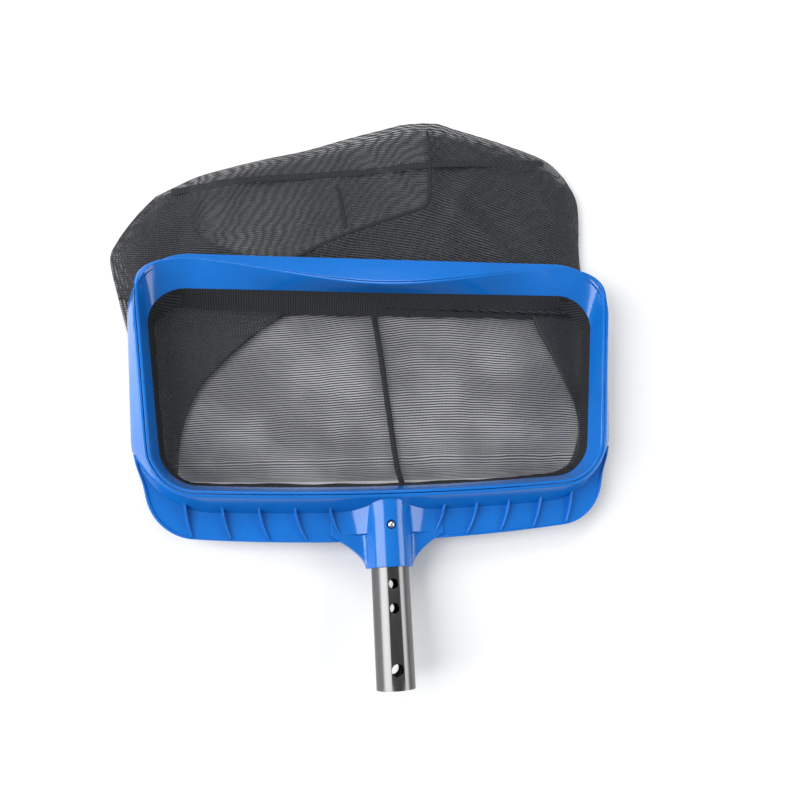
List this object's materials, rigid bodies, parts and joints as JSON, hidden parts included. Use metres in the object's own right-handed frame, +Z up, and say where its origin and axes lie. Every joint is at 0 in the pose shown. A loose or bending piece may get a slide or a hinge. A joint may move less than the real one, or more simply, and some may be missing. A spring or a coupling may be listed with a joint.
{
  "type": "leaf skimmer net",
  "caption": "Pool leaf rake: moulded rounded frame with a crescent lip, a deep mesh bag and a short tube handle with a snap clip.",
  "frame": {"origin": "on the surface it lies on, under the middle of the mouth, which is the bottom centre of the whole box", "axes": "+X across the mouth, +Y towards the leading edge and away from the handle, +Z up, the side that faces the leaves"},
  "size_m": [0.444, 0.4972, 0.0543],
  "materials": {
    "blue_plastic": "glossy moulded polypropylene",
    "tube_metal": "polished",
    "spring_steel": "bright strip",
    "button_metal": "polished",
    "mesh": "fine woven mesh",
    "binding": "ribbed tape",
    "cord": "braided"
  },
  "bodies": {
    "net_frame": {"frame_shell": "blue_plastic", "net_clamp_ring": "blue_plastic", "handle_tube": "tube_metal", "snap_clip": "spring_steel", "mesh_bag": "mesh", "bag_hem_band": "binding", "hem_cord": "cord", "bag_centre_seam": "binding", "bag_end_seam": "binding"},
    "front_button": {"front_button": "button_metal"},
    "rear_button": {"rear_button": "button_metal"}
  },
  "joints": [
    {"name": "front_button_press", "type": "slide", "parent": "net_frame", "child": "front_button", "axis": [0, -0.1392, -0.9903], "range_m": [0, 0.005], "stiffness_N_per_m": 1500, "deforming": ["snap_clip"]},
    {"name": "rear_button_press", "type": "slide", "parent": "net_frame", "child": "rear_button", "axis": [0, 0.1392, 0.9903], "range_m": [0, 0.005], "stiffness_N_per_m": 1500, "deforming": ["snap_clip"]}
  ]
}
